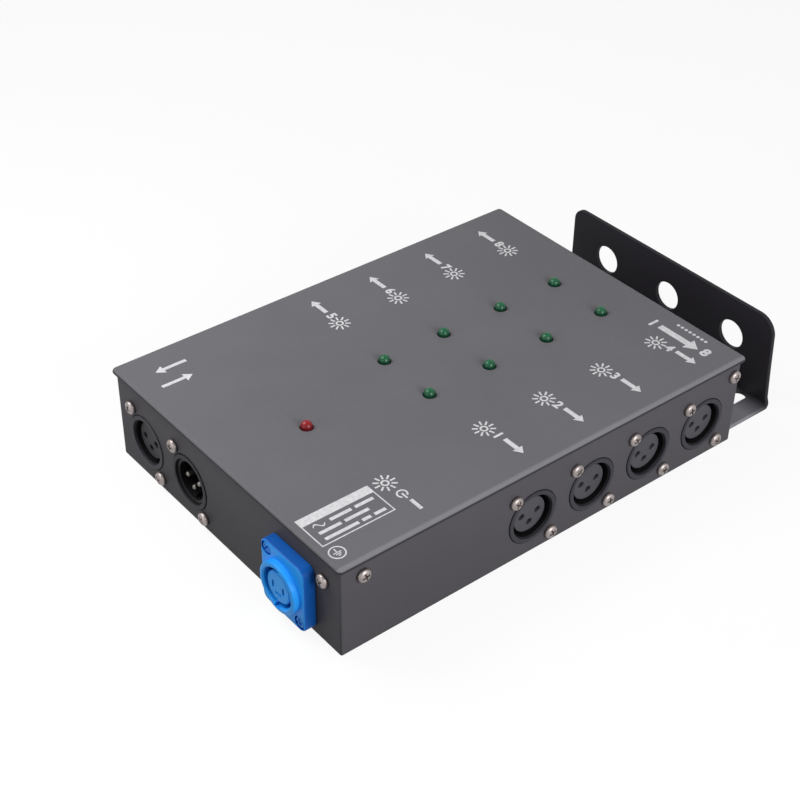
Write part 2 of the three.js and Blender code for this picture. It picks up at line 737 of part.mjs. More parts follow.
for (const { name, side, along, male } of socketPlaces) {
  add(name, male ? maleSocket() : femaleSocket(), 'socket', onPanel(side, along, socket_height));
  for (const [across, up] of fixingSigns) {
    const place = alongWall(side, along, across * fixing_across);
    const height = socket_height + up * fixing_up;
    const screw = panScrew(head_radius, head_height, shank_radius, screw_reach, seat_gap);
    const which = up > 0 ? 'upper' : 'lower';
    add(`${name.replace('_socket', '')}_screw_${which}`, screw, 'steel', onPanel(side, place, height));
  }
}

add('power_inlet', powerInlet(), 'inlet', onPanel('front', inlet_inset, inlet_height));
for (const [across, up] of fixingSigns) {
  const seat = seat_gap + inlet_flange_thickness - inlet_head_depth + seat_gap;
  const place = alongWall('front', inlet_inset, across * inlet_fixing_across);
  const screw = panScrew(head_radius, head_height, shank_radius, screw_reach, seat);
  const matrix = onPanel('front', place, inlet_height + up * inlet_fixing_up);
  add(`power_inlet_screw_${up > 0 ? 'upper' : 'lower'}`, screw, 'steel', matrix);
}

for (const { name, side, along, drop } of coverScrewPlaces) {
  const screw = panScrew(head_radius, head_height, shank_radius, screw_reach, seat_gap);
  add(name, screw, 'steel', onPanel(side, along, case_height - drop));
}

for (const { name, y } of bracketScrewPlaces) {
  const seat = seat_gap + bracket_sheet + seat_gap;
  const screw = panScrew(bracket_head_radius, bracket_head_height, bracket_shank_radius, screw_reach, seat);
  add(name, screw, 'steel', onPanel('back', y, bracket_screw_height));
}

for (const { name, x, y, colour } of lampPlaces) {
  add(name, lamp(), colour, new THREE.Matrix4().makeTranslation(x, y, 0));
}

add('main_board', mainBoard(), 'board');
add('power_supply_board', supplyBoard(), 'board');
add('supply_transformer', transformer(), 'winding');
add('supply_capacitor', capacitor(), 'can');
add('mains_lead', mainsLead(), 'wire');

// The part's origin is the middle of its underside, ring of the inlet and bracket included
splitter.position.set(-(tray_length + bracket_reach - inlet_reach) / 2, -middle_y, 0);

export default splitter;
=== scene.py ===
import math

import bmesh
import bpy
from mathutils import Euler, Matrix, Vector


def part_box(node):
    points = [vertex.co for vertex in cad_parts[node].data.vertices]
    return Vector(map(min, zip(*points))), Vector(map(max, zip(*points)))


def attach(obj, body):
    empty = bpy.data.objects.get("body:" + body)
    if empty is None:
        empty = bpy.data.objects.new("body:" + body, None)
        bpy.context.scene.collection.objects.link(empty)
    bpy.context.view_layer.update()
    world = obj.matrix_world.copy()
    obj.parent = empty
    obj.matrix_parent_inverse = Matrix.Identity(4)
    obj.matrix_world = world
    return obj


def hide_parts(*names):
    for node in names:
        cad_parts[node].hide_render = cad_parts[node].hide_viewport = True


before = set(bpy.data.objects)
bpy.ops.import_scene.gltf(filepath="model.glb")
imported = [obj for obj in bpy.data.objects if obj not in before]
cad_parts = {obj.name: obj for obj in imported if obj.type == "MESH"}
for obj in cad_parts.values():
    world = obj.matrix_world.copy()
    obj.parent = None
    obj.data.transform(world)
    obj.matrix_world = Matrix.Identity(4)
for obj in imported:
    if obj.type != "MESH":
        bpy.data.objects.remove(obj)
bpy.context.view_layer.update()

mm = 0.001
sharp_angle = 35  # edges above this stay sharp
corner_steps = 6  # of a rounded corner
scene = bpy.context.scene

# Case
sheet = 1.2  # steel of the tray and the lid
lid_corner = 2
lid_bend = 1.5  # outer radius of the bend round the lid
lid_rim_drop = 2.2
lid_over_bend = 0.22  # the rim leans in by this much at its lower edge
lid_slit = 0.35  # between the folded rims at each corner
tray_bend = 0.8
tray_corner = 0.9
hole_gap = 0.3

# Data sockets, drawn with the panel's outer face at height 0 and the front upwards
barrel_radius = 11.7
barrel_proud = 0.4
barrel_depth = 15
groove_outer = 9.7
groove_inner = 7.9
groove_depth = 12
insert_recess = 1.7
contact_radius = 1.35
pin_radius = 1.2
contact_places = [(-4, 0.35), (4, 0.35), (0, -3.65)]
socket_flange = (26, 31, 2.2)
socket_block = (20, 16, 8)
socket_fixing = (9.5, 12)
flange_bore = 10.5
seat_gap = 0.25

# Power inlet
inlet_flange = (26, 29.4, 5)
inlet_fixing = (9.6, 11.2)
inlet_ring_radius = 10.6
inlet_ring_proud = 2.8
inlet_cavity_radius = 8.4
inlet_core_radius = 6.8
inlet_cavity_depth = 13
inlet_body_radius = 10.8
inlet_body_depth = 17
inlet_core_recess = 0.8
inlet_screw_depth = 2.6  # of the screws' recesses
# Each slot in the core: its middle, half width and half height
inlet_slots = [(-3.1, 0, 0.5, 1.7), (3.1, 0, 0.5, 1.7), (0, -3.1, 1.7, 0.5)]
inlet_tabs = [(-5.4, 2.7), (0, -5.4), (5.4, 2.7)]
inlet_keys = [(-9.3, -6.6), (6.6, 9.3)]  # lower and upper ends of the two keyways

# Screws and lamps
screw_radius = 2.8
screw_height = 2
screw_hole = 1.75
screw_wing = ((0.3, 0.085, 0.3), (0.56, 0.135, 0.82), (0.56, 0.135, 1.2))  # half length, half width, height
bracket_screw_radius = 3.6
bracket_screw_height = 2.4
bracket_screw_hole = 2.25
lamp_radius = 2.5
lamp_rim_radius = 2.9
lamp_rim_height = 1
lamp_height = 8.6
lamp_proud = 2.9  # dome above the lid
lamp_wire = 0.5
lamp_wire_pitch = 2.54

# Hanging bracket
bracket_sheet = 2
bracket_bend = 2.3
bracket_flange_height = 22
bracket_screw_up = 12
# The upright's two long edges, near and far: height and how far the edge is in, then the upper corner's radius
bracket_foot_taper = [(0.9, 0.25), (2.6, 1), (4.7, 1.7)]
bracket_edges = [(bracket_foot_taper + [(18, 2.6), (34, 3.45)], 8.7),
                 (bracket_foot_taper + [(14, 2.7), (36, 2.7)], 5.6)]
hook_hole_radius = 6.5
hook_hole_height = 25.4
hook_holes_y = (-44.3, -6.7, 30.9)
tie_slots_y = (-56.4, 43)
tie_slot_x = (99.775, 117.775)
tie_slot_width = 6.5

# Printed marks on the lid; an arrow has a length, a shaft's width and a head's length
ink_lift = 0.04
number_size = 6
title_size = 7
output_arrow = (10.5, 2, 3.4)
data_arrow = (14, 1.6, 3.6)
title_arrow = (21, 3, 5.2)
# By a near and by a far output: X from the socket and Y of its sign, number and arrow, and the arrow's turn
near_marks = ((-1, -45.3), (0.4, -51.6), (1, -54.8), -90)
far_marks = ((-1.5, 44.3), (-1, 50.6), (-1, 54), 90)
power_lamp_sign = (-72.2, -47.4)
dot_pitch = 2.15
supply_plate = (-110.4, -78.2, -61.2, -44.5)  # x0, x1, y0, y1
# Each row of plain lines in the plate: its y, then the lines' ends
supply_rows = ((-51.2, (-99.8, -90.4), (-88.8, -80.6)), (-54.9, (-107.2, -97.6), (-96, -85.4)),
               (-58.5, (-107.2, -92.6), (-91, -87.2), (-85.6, -80.6)))

# Painted light and shade on the powder coat
# painted light on the bracket's foot reaches up to this height
foot_light_top = 3.4
# width of the painted highlight on the lid's near bend
near_highlight_width = 2.4
# painted shade on the lid's rim starts this far below the top
rim_shade_drop = 0.6
wall_shade_at_foot, wall_shade_fade = 0.16, 0.0045  # painted shade at the foot, and how much less of it for each millimetre up
front_wall_shade, front_wall_shade_fade = 0.47, 0.008  # more painted shade on the front wall

# Studio, in metres
floor_reach = 4
floor_height = -1e-4
floor_glow = 1.5
floor_glow_share = 0.6  # of the floor's look, for rays that see it directly
sky_light = 0.12


# Meshes

def new_piece(name, mesh):
    piece = bpy.data.objects.new(name, mesh)
    scene.collection.objects.link(piece)
    return piece


def tidied(mesh, outward=True):
    """Merges doubles, turns the faces outwards and shades smooth between sharp edges."""
    form = bmesh.new()
    form.from_mesh(mesh)
    bmesh.ops.remove_doubles(form, verts=form.verts, dist=1e-6)
    bmesh.ops.dissolve_degenerate(form, edges=form.edges, dist=1e-7)
    if outward:
        bmesh.ops.recalc_face_normals(form, faces=form.faces)
    form.to_mesh(mesh)
    form.free()
    mesh.shade_smooth()
    mesh.set_sharp_from_angle(angle=math.radians(sharp_angle))
    return mesh


def lofted(name, loops, ring=False):
    """Skin over loops of equally many points. The ends are capped, or joined when the loops form a ring."""
    count = len(loops[0])
    points = [point for loop in loops for point in loop]
    steps = len(loops) if ring else len(loops) - 1
    faces = []
    for k in range(steps):
        here, there = k * count, (k + 1) % len(loops) * count
        for j in range(count):
            nxt = (j + 1) % count
            faces.append((here + j, here + nxt, there + nxt, there + j))
    if not ring:
        faces.append(tuple(reversed(range(count))))
        faces.append(tuple(range(steps * count, len(points))))
    mesh = bpy.data.meshes.new(name)
    mesh.from_pydata([Vector(point) * mm for point in points], [], faces)
    return tidied(mesh)


def turned(name, profile, sides=48, ring=False, centre=(0, 0)):
    """Solid turned about the height from [radius, height] points."""
    angles = [2 * math.pi * k / sides for k in range(sides)]
    loops = [[(centre[0] + r * math.cos(a), centre[1] + r * math.sin(a), z) for a in angles] for r, z in profile]
    return lofted(name, loops, ring)


def rod(radius, low, high, sides, centre=(0, 0)):
    return turned("rod", [(0, low), (radius, low), (radius, high), (0, high)], sides, centre=centre)


def arc(x, y, radius, start, end, steps=5):
    """Points on an arc round a centre, between two angles in degrees."""
    turns = [math.radians(start + (end - start) * k / steps) for k in range(steps + 1)]
    return [(x + radius * math.cos(turn), y + radius * math.sin(turn)) for turn in turns]


def rounded(x0, x1, y0, y1, radius, z=0.0):
    """Rounded rectangle as a loop of points."""
    loop = []
    for cx, cy, start in ((x1 - radius, y0 + radius, -90), (x1 - radius, y1 - radius, 0),
                          (x0 + radius, y1 - radius, 90), (x0 + radius, y0 + radius, 180)):
        loop += [(x, y, z) for x, y in arc(cx, cy, radius, start, start + 90, corner_steps)]
    return loop


def rounded_plate(name, width, height, radius, z0, z1, bevel=0.0):
    """Plate with rounded corners and softened edges on its upper side."""
    levels = [(0, z0), (0, z1 - bevel)]
    levels += arc(bevel, z1 - bevel, bevel, 150, 90, 2) if bevel else [(0, z1)]
    loops = [rounded(-width / 2 + inset, width / 2 - inset, -height / 2 + inset, height / 2 - inset,
                     max(radius - inset, 0.05), z) for inset, z in levels]
    return lofted(name, loops)


def oblong(x0, x1, y0, y1):
    return [(x0, y0), (x1, y0), (x1, y1), (x0, y1)]


def block(name, low, high):
    x0, y0, z0 = low
    x1, y1, z1 = high
    return lofted(name, [[(x, y, z) for x, y in oblong(x0, x1, y0, y1)] for z in (z0, z1)])


def mesh_of_curve(curve):
    """Mesh of a curve or a text, which is used up."""
    drawn = new_piece("drawn", curve)
    mesh = plain_mesh(drawn)
    bpy.data.objects.remove(drawn)
    bpy.data.curves.remove(curve)
    return mesh


def filled(name, outlines, half_thickness, bevel=0.0):
    """Flat plate from closed outlines in a plane: an outline inside another is a hole."""
    curve = bpy.data.curves.new(name, "CURVE")
    curve.dimensions = "2D"
    curve.fill_mode = "BOTH"
    for outline in outlines:
        spline = curve.splines.new("POLY")
        spline.points.add(len(outline) - 1)
        for point, (x, y) in zip(spline.points, outline):
            point.co = (x * mm, y * mm, 0, 1)
        spline.use_cyclic_u = True
    curve.extrude = (half_thickness - bevel) * mm
    curve.bevel_depth = bevel * mm
    curve.offset = -bevel * mm
    curve.bevel_resolution = 1
    return tidied(mesh_of_curve(curve))


def circle(x, y, radius, sides=40):
    return [(x + radius * math.cos(2 * math.pi * k / sides), y + radius * math.sin(2 * math.pi * k / sides))
            for k in range(sides)]


def joined(name, meshes):
    """One mesh from several, which are used up."""
    form = bmesh.new()
    for mesh in meshes:
        form.from_mesh(mesh)
    whole = bpy.data.meshes.new(name)
    form.to_mesh(whole)
    form.free()
    for mesh in meshes:
        bpy.data.meshes.remove(mesh)
    return whole


def moved(mesh, matrix):
    """The mesh, turned and then placed in millimetres."""
    matrix = matrix.copy()
    matrix.translation *= mm
    mesh.transform(matrix)
    return mesh


def plain_mesh(piece):
    """Mesh of a piece with its modifiers in it."""
    scene.view_layers[0].update()
    graph = bpy.context.evaluated_depsgraph_get()
    return bpy.data.meshes.new_from_object(piece.evaluated_get(graph), depsgraph=graph)


def settle(piece):
    """Puts a piece's modifiers into its mesh."""
    mesh = plain_mesh(piece)
    piece.modifiers.clear()
    piece.data = mesh
    return piece


def carve(mesh, tools, operation="DIFFERENCE"):
    """Cuts the tools out of a mesh, or joins them to it."""
    piece = new_piece("carved", mesh)
    tool = new_piece("tools", joined("tools", tools))
    cut = piece.modifiers.new("cut", "BOOLEAN")
    cut.operation = operation
    cut.solver = "EXACT"
    cut.use_self = operation == "UNION"
    cut.object = tool
    settle(piece)
    result = piece.data
    bpy.data.objects.remove(piece)
    bpy.data.objects.remove(tool)
    return tidied(result, outward=False)


# Places, read from the frame's nodes

def low_high(node):
    low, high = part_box(node)
    return low / mm, high / mm


tray_low, tray_high = low_high("base_tray")
lid_low, lid_high = low_high("top_cover")
bracket_low, bracket_high = low_high("hanging_bracket")

facing = {wall: Euler((math.pi / 2, 0, turn)).to_matrix()
          for wall, turn in (("near", 0), ("far", math.pi), ("front", -math.pi / 2), ("back", math.pi / 2))}


def wall_of(node):
    """The wall that a node stands on, from where its box lies."""
    low, high = low_high(node)
    reach = {"near": tray_low.y - low.y, "far": high.y - tray_high.y, "front": tray_low.x - low.x,
             "back": high.x - tray_high.x}
    return max(reach, key=reach.get)


def place_of(node, wall=None):
    """The middle of a node on its wall's outer face, and the turn that faces outwards there."""
    wall = wall or wall_of(node)
    low, high = low_high(node)
    middle = (low + high) / 2
    face = {"near": (middle.x, tray_low.y, middle.z), "far": (middle.x, tray_high.y, middle.z),
            "front": (tray_low.x, middle.y, middle.z), "back": (tray_high.x, middle.y, middle.z)}[wall]
    return Vector(face), facing[wall]


outputs = [f"output_socket_{k}" for k in range(1, 9)]
female_nodes = outputs + ["data_through_socket"]
male_node = "data_input_socket"
socket_nodes = female_nodes + [male_node]
lamp_nodes = [f"output_lamp_{k}" for k in range(1, 9)]
all_screws = sorted(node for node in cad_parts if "_screw_" in node)
bracket_screws = [node for node in all_screws if node.startswith("bracket")]
inlet_screws = [node for node in all_screws if node.startswith("power_inlet")]
panel_screws = [node for node in all_screws if node not in bracket_screws + inlet_screws]


# Geometry Nodes: copies of a shape on places, and the burst mark

def new_tree(name, inputs):
    """Node tree with a geometry output and the named inputs after its geometry input."""
    tree = bpy.data.node_groups.new(name, "GeometryNodeTree")
    tree.interface.new_socket("Geometry", in_out="INPUT", socket_type="NodeSocketGeometry")
    for label, kind in inputs.items():
        tree.interface.new_socket(label, in_out="INPUT", socket_type="NodeSocket" + kind)
    tree.interface.new_socket("Geometry", in_out="OUTPUT", socket_type="NodeSocketGeometry")
    return tree


def add_node(tree, kind, settings=None, **links):
    """Adds a node; a link's name is an input's name, with _ for a space, or its number after a lone n."""
    node = tree.nodes.new(kind)
    for key, value in (settings or {}).items():
        setattr(node, key, value)
    for key, value in links.items():
        socket = node.inputs[int(key[1:])] if key[1:].isdigit() else node.inputs[key.replace("_", " ")]
        if isinstance(value, bpy.types.NodeSocket):
            tree.links.new(value, socket)
        else:
            socket.default_value = value
    return node


def end_tree(tree, geometry, material):
    """Realizes the copies, sets their material and ends the tree."""
    real = add_node(tree, "GeometryNodeRealizeInstances", Geometry=geometry)
    painted = add_node(tree, "GeometryNodeSetMaterial", Geometry=real.outputs[0], Material=material)
    add_node(tree, "NodeGroupOutput", Geometry=painted.outputs[0])
    return tree


def copies_tree():
    """Copies of a shape on a mesh's points, turned by their turn attribute, with a width and a height."""
    tree = new_tree("copies_on_places", {"Shape": "Object", "Width": "Float", "Height": "Float",
                                         "Material": "Material"})
    start = tree.nodes.new("NodeGroupInput").outputs
    size = add_node(tree, "ShaderNodeCombineXYZ", X=start["Width"], Y=start["Width"], Z=start["Height"])
    shape = add_node(tree, "GeometryNodeObjectInfo", Object=start["Shape"])
    turn = add_node(tree, "GeometryNodeInputNamedAttribute", {"data_type": "FLOAT_VECTOR"}, Name="turn")
    rotation = add_node(tree, "FunctionNodeEulerToRotation", Euler=turn.outputs["Attribute"])
    copies = add_node(tree, "GeometryNodeInstanceOnPoints", Points=start["Geometry"],
                      Instance=shape.outputs["Geometry"], Rotation=rotation.outputs[0], Scale=size.outputs[0])
    return end_tree(tree, copies.outputs[0], start["Material"])


def burst_tree():
    """A ring with straight rays round it on each point of a mesh: the plain sign for a lamp."""
    tree = new_tree("lamp_signs", {"Rays": "Int", "Ring Radius": "Float", "Ray Start": "Float",
                                   "Ray End": "Float", "Line Width": "Float", "Thickness": "Float",
                                   "Material": "Material"})
    start = tree.nodes.new("NodeGroupInput").outputs

    def maths(operation, a, b):
        return add_node(tree, "ShaderNodeMath", {"operation": operation}, n0=a, n1=b).outputs[0]

    middle = maths("MULTIPLY", maths("ADD", start["Ray Start"], start["Ray End"]), 0.5)
    length = maths("SUBTRACT", start["Ray End"], start["Ray Start"])
    size = add_node(tree, "ShaderNodeCombineXYZ", X=length, Y=start["Line Width"], Z=start["Thickness"])
    ray = add_node(tree, "GeometryNodeMeshCube", Size=size.outputs[0])
    spots = add_node(tree, "GeometryNodeMeshCircle", Vertices=start["Rays"], Radius=middle)
    place = add_node(tree, "GeometryNodeInputPosition")
    turn = add_node(tree, "FunctionNodeAlignRotationToVector", {"axis": "X"}, Vector=place.outputs[0])
    rays = add_node(tree, "GeometryNodeInstanceOnPoints", Points=spots.outputs[0], Instance=ray.outputs[0],
                    Rotation=turn.outputs[0])
    path = add_node(tree, "GeometryNodeCurvePrimitiveCircle", Resolution=32, Radius=start["Ring Radius"])
    section = add_node(tree, "GeometryNodeCurvePrimitiveQuadrilateral", Width=start["Line Width"],
                       Height=start["Thickness"])
    ring = add_node(tree, "GeometryNodeCurveToMesh", Curve=path.outputs[0], Profile_Curve=section.outputs[0])
    sign = add_node(tree, "GeometryNodeJoinGeometry")
    tree.links.new(rays.outputs[0], sign.inputs[0])
    tree.links.new(ring.outputs[0], sign.inputs[0])
    copies = add_node(tree, "GeometryNodeInstanceOnPoints", Points=start["Geometry"], Instance=sign.outputs[0])
    return end_tree(tree, copies.outputs[0], start["Material"])


def grown(piece, tree, values):
    """Runs a tree on a piece with the values of its named inputs, and keeps the plain mesh."""
    growth = piece.modifiers.new("growth", "NODES")
    growth.node_group = tree
    for label, value in values.items():
        growth[tree.interface.items_tree[label].identifier] = value
    piece.update_tag()
    return settle(piece)


copies = copies_tree()
bursts = burst_tree()


def copied(name, shape, places, material, width=1.0, height=1.0):
    """One piece with a copy of a shape on each place, a pair of a point and a turning matrix."""
    mesh = bpy.data.meshes.new(name)
    mesh.from_pydata([point * mm for point, _ in places], [], [])
    turn = mesh.attributes.new("turn", "FLOAT_VECTOR", "POINT")
    for entry, (_, matrix) in zip(turn.data, places):
        entry.vector = matrix.to_euler()
    source = new_piece(name + "_shape", shape)
    piece = grown(new_piece(name, mesh), copies, {"Shape": source, "Width": width, "Height": height,
                                                  "Material": material})
    bpy.data.objects.remove(source)
    return piece


# Shader maths

class Shade:
    """A socket of a material. Python's operators on it add Math nodes."""

    def __init__(self, finish, socket):
        self.finish = finish
        self.socket = socket

    def maths(self, operation, *others):
        values = dict(enumerate((self,) + others))
        return self.finish.node("ShaderNodeMath", {"operation": operation}, values)

    def __add__(self, other):
        return self.maths("ADD", other)

    def __mul__(self, other):
        return self.maths("MULTIPLY", other)

    def __sub__(self, other):
        return self.maths("SUBTRACT", other)

    def __rsub__(self, other):
        return (self * -1) + other

    def __truediv__(self, other):
        return self.maths("DIVIDE", other)

    def __gt__(self, other):
        return self.maths("GREATER_THAN", other)

    def clipped(self):
        return self.maths("MAXIMUM", 0.0).maths("MINIMUM", 1.0)


class Finish:
    """A material, with its shader's constants set on its own sockets."""

    def __init__(self, name, **constants):
        self.material = bpy.data.materials.new(name)
        self.material.use_nodes = True
        self.tree = self.material.node_tree
        self.shader = self.tree.nodes["Principled BSDF"]
        for key, value in constants.items():
            self.shader.inputs[key.replace("_", " ")].default_value = value
        self.place = self.node("ShaderNodeTexCoord", output="Object")

    def node(self, kind, settings=None, values=None, output=0):
        """Adds a node: its settings first, then the values or links of its sockets."""
        node = self.tree.nodes.new(kind)
        for key, value in (settings or {}).items():
            setattr(node, key, value)
        for key, value in (values or {}).items():
            if isinstance(value, Shade):
                self.tree.links.new(value.socket, node.inputs[key])
            else:
                node.inputs[key].default_value = value
        return Shade(self, node.outputs[output])

    def feed(self, name, value):
        self.tree.links.new(value.socket, self.shader.inputs[name])
        return self

    def noise(self, scale, detail=2.0, roughness=0.5, vector=None):
        return self.node("ShaderNodeTexNoise", None, {"Vector": vector or self.place, "Scale": scale,
                                                      "Detail": detail, "Roughness": roughness}, "Fac")

    def cells(self, scale):
        return self.node("ShaderNodeTexVoronoi", None, {"Vector": self.place, "Scale": scale}, "Distance")

    def stretched(self, factors):
        return self.node("ShaderNodeMapping", None, {"Vector": self.place, "Scale": factors})

    def mix(self, factor, first, second):
        first = (*first, 1) if isinstance(first, tuple) else first
        second = (*second, 1) if isinstance(second, tuple) else second
        return self.node("ShaderNodeMix", {"data_type": "RGBA"}, {0: factor, 6: first, 7: second}, 2)

    def bump(self, height, strength, distance):
        """Raises the surface by a height map; the distance is in millimetres."""
        raised = self.node("ShaderNodeBump", None, {"Height": height, "Strength": strength,
                                                    "Distance": distance * mm})
        return self.feed("Normal", raised)

    def across(self, axis):
        return self.node("ShaderNodeSeparateXYZ", None, {"Vector": self.place}, axis)


def shade_of(level):
    """Linear value of an 8-bit colour level."""
    level /= 255
    return level / 12.92 if level <= 0.04045 else ((level + 0.055) / 1.055) ** 2.4


def colour_of(red, green, blue):
    return (shade_of(red), shade_of(green), shade_of(blue))


def powder_coat(name, dark, light, foot_light=None, near_highlight=None, rim_shade=None, wall_shade=None):
    """Satin powder coat: orange peel, fine grain and faint cloudiness, with painted light on the bracket's foot, or
    the lid's painted highlight on its near bend and painted shade on its rim, or painted shade that thickens towards
    the foot, most on the front wall."""
    coat = Finish(name, Specular_IOR_Level=0.08)
    peel = coat.noise(1100, 3, 0.6)
    grain = coat.noise(4200, 1, 0.5)
    cloud = coat.noise(16, 3, 0.55)
    tone = (cloud * 0.7 + peel * 0.35 + grain * 0.4 - 0.25).clipped()
    colour = coat.mix(tone, dark, light)
    # Painted light on the bracket's foot, fading to nothing next to the upright
    if foot_light:
        low = ((coat.across("Z") / mm - foot_light_top) * -0.8).clipped()
        open_side = ((coat.across("X") / mm - bracket_high.x) * -0.09 - 0.25).clipped()
        colour = coat.mix(low * open_side * (cloud * 0.5 + 0.7).clipped(), colour, foot_light)
    # Painted highlight along the lid's near bend
    if near_highlight:
        bend = (near_highlight_width - (coat.across("Y") / mm - lid_low.y)).clipped() * (cloud * 0.6 + 0.6).clipped()
        colour = coat.mix(bend, colour, near_highlight)
    # Painted shade on the lid's rim, under its edge
    if rim_shade:
        rim = ((coat.across("Z") / mm - (lid_high.z - rim_shade_drop)) * -2.2).clipped()
        colour = coat.mix(rim, colour, rim_shade)
    # Painted shade on the tray's walls, thicker towards the foot and most on the front wall
    if wall_shade:
        up = coat.across("Z") / mm
        front = ((coat.across("X") / mm - (tray_low.x + 0.5)) * -4).clipped()
        cover = (up * -wall_shade_fade + wall_shade_at_foot).clipped() + front * (up * -front_wall_shade_fade + front_wall_shade).clipped()
        colour = coat.mix(cover * (cloud * 0.4 + 0.8), colour, wall_shade)
    coat.feed("Base Color", colour)
    coat.feed("Roughness", (peel - 0.5) * 0.16 + (cloud - 0.5) * 0.12 + 0.5)
    coat.bump(peel + grain * 0.5, 0.5, 0.05)
    return coat.material


def moulded(name, dark, light, roughness=0.5, coat_weight=0.0, front=None):
    """Moulded plastic: fine spark texture, faint flow clouds, and painted light on the inlet's front face."""
    plastic = Finish(name, Coat_Weight=coat_weight, Coat_Roughness=0.15, Specular_IOR_Level=0.15)
    spark = plastic.noise(2600, 2, 0.6)
    flow = plastic.noise(90, 3, 0.5)
    colour = plastic.mix((flow * 1.2 - 0.1).clipped(), dark, light)
    if front:
        # Painted light: the inlet's front face is paler than its top and sides
        lit_front_mask = ((plastic.across("X") / mm - (tray_low.x - inlet_flange[2] + 0.15)) * -3).clipped()
        colour = plastic.mix(lit_front_mask * (flow * 0.3 + 0.85).clipped(), colour, front)
    plastic.feed("Base Color", colour)
    plastic.feed("Roughness", (spark - 0.5) * 0.2 + (flow - 0.5) * 0.1 + roughness)
    plastic.bump(spark, 0.35, 0.03)
    return plastic.material


def plated(name, dark, light, roughness):
    """Plated steel with fine smears and dull patches."""
    metal = Finish(name, Metallic=1.0)
    smear = metal.noise(900, 3, 0.6, metal.stretched((1, 1, 6)))
    patch = metal.noise(380, 2)
    metal.feed("Base Color", metal.mix((patch * 1.4 - 0.2).clipped(), dark, light))
    metal.feed("Roughness", (smear - 0.5) * 0.3 + (patch - 0.5) * 0.2 + roughness)
    metal.bump(smear, 0.3, 0.02)
    return metal.material


def lens(name, shaded_colour, lit_colour):
    """Tinted clear lens: painted shade towards its foot and painted light on its crown."""
    glass = Finish(name, Coat_Weight=0.2, Coat_Roughness=0.12, Roughness=0.25, Specular_IOR_Level=0.2)
    height = (glass.across("Z") / mm - lid_high.z) / lamp_proud
    swirl = glass.noise(700, 2)
    glass.feed("Base Color", glass.mix((height * 0.9 + (swirl - 0.5) * 0.5).clipped(), shaded_colour, lit_colour))
    glass.bump(swirl, 0.1, 0.05)
    return glass.material


# The lid's paler colour is a painted highlight on its near bend, its darkest colour painted shade on its rim.
lid_coat = powder_coat("lid_powder_coat", colour_of(98, 97, 101), colour_of(119, 118, 122),
                       near_highlight=colour_of(130, 129, 133), rim_shade=colour_of(54, 53, 56))
# The tray's coat is set darker than the lid's as painted shade on its walls, and its darkest colour is painted shade
# towards the foot.
tray_coat = powder_coat("tray_powder_coat", colour_of(78, 76, 80), colour_of(93, 91, 96),
                        wall_shade=colour_of(41, 40, 41))
# The bracket's pale colour is painted light on its foot.
bracket_coat = powder_coat("bracket_powder_coat", colour_of(38, 36, 40), colour_of(50, 48, 53),
                           foot_light=colour_of(146, 145, 152))
shell_finish = moulded("socket_shell_grey", colour_of(48, 47, 53), colour_of(58, 57, 64))
input_finish = moulded("input_shell_dark", colour_of(26, 25, 30), colour_of(34, 33, 38))
insert_finish = moulded("socket_insert_grey", colour_of(71, 70, 75), colour_of(84, 83, 88))
# A darker copy of the insert's grey: painted shade on the through socket's insert.
shaded_through_insert = moulded("through_insert_painted_shade", colour_of(47, 46, 51), colour_of(57, 56, 61))
# Black plastic for the pin side's cup, and a dark sheet that paints the shade in the sockets' grooves.
black_and_shade_finish = moulded("socket_black_and_painted_shade", colour_of(14, 14, 16), colour_of(22, 22, 24))
# The inlet's paler front colour is painted light on its front face.
inlet_finish = moulded("inlet_blue", colour_of(15, 88, 174), colour_of(22, 98, 190), 0.42, 0.05,
                       front=colour_of(42, 164, 255))
zinc = plated("zinc_plate", colour_of(134, 126, 124), colour_of(168, 159, 156), 0.42)
blued = moulded("blue_screw_paint", colour_of(60, 150, 240), colour_of(80, 164, 250), 0.45)
# Dull silver: the contacts' metal, made darker as painted shade deep in the sockets.
contact_metal = plated("contact_silver", colour_of(96, 93, 90), colour_of(132, 129, 124), 0.36)
# Each lens's first colour is painted shade at its foot, its second painted light on its crown.
lens_red = lens("lens_red", colour_of(88, 6, 14), colour_of(146, 16, 27))
lens_green = lens("lens_green", colour_of(4, 44, 28), colour_of(18, 98, 62))


def ink():
    """White screen print: slightly uneven cover over the coat's peel."""
    paint = Finish("printed_white", Roughness=0.55)
    cover = paint.noise(700, 3, 0.6)
    paint.feed("Base Color", paint.mix((cover * 1.6 - 0.3).clipped(), colour_of(192, 192, 196),
                                       colour_of(232, 232, 234)))
    paint.bump(cover, 0.3, 0.02)
    return paint.material


print_white = ink()


def finish_piece(piece, material, slot, *nodes):
    """Evens the shading, gives the finish, hangs the piece on the root and hides the nodes that it replaces."""
    even = piece.modifiers.new("even_shading", "WEIGHTED_NORMAL")
    even.keep_sharp = True
    settle(piece)
    piece.data.materials.clear()
    piece.data.materials.append(material)
    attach(piece, "root")
    if nodes:
        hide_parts(*nodes)
    return piece


def finish_copies(name, shape, places, material, slot, *nodes, size=(1.0, 1.0)):
    """One finished piece with a copy of a shape on each place."""
    return finish_piece(copied(name, shape, places, material, *size), material, slot, *nodes)


# Lid: folded pan with rounded bends and lamp holes

def pan_loops(low, high, corner, levels):
    """Loops of a rounded rectangle at each [inset, height]."""
    return [rounded(low.x + inset, high.x - inset, low.y + inset, high.y - inset, max(corner - inset, 0.1), z)
            for inset, z in levels]


